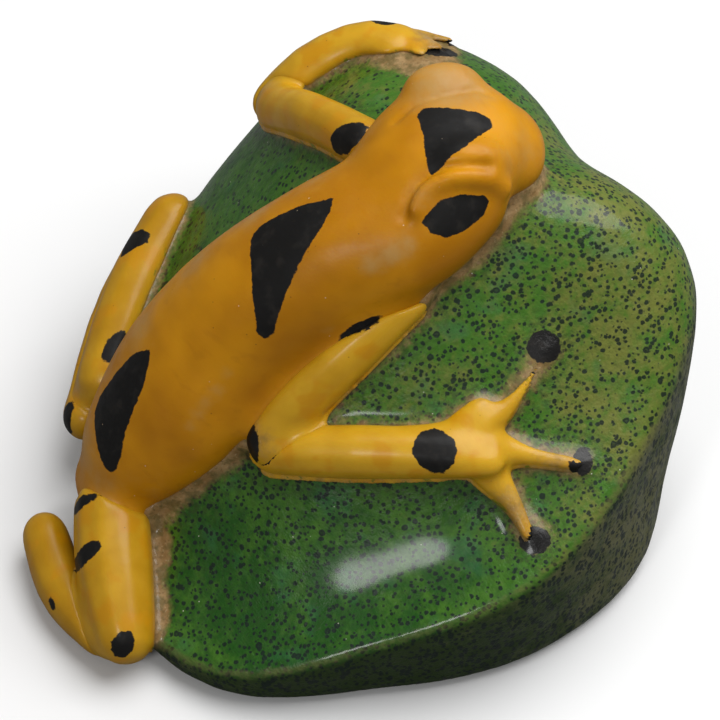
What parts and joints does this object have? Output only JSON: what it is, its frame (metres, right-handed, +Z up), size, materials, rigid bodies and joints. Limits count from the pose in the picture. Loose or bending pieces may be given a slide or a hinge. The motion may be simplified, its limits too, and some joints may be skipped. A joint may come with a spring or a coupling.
{
  "type": "carved nut frog ornament",
  "caption": "Solid palm-nut ornament with a flat foot: a spotted golden frog carved in relief climbs the nut's sloping, speckled green back.",
  "frame": {"origin": "on the flat foot, under the crown of the nut", "axes": "+X the way the frog climbs, from the low tail end to the head, +Y to its left, +Z up out of the foot"},
  "size_m": [0.0568, 0.0528, 0.0418],
  "materials": {
    "green_nut": "gloss",
    "amber_nut": "gloss",
    "yellow_nut": "gloss"
  },
  "bodies": {
    "root": {"nut": "green_nut", "body": "amber_nut", "right_upper_arm": "yellow_nut", "right_forearm": "yellow_nut", "left_upper_arm": "yellow_nut", "left_forearm": "yellow_nut", "right_thigh": "yellow_nut", "right_shank": "yellow_nut", "left_thigh": "yellow_nut", "left_shank": "yellow_nut"}
  },
  "joints": []
}
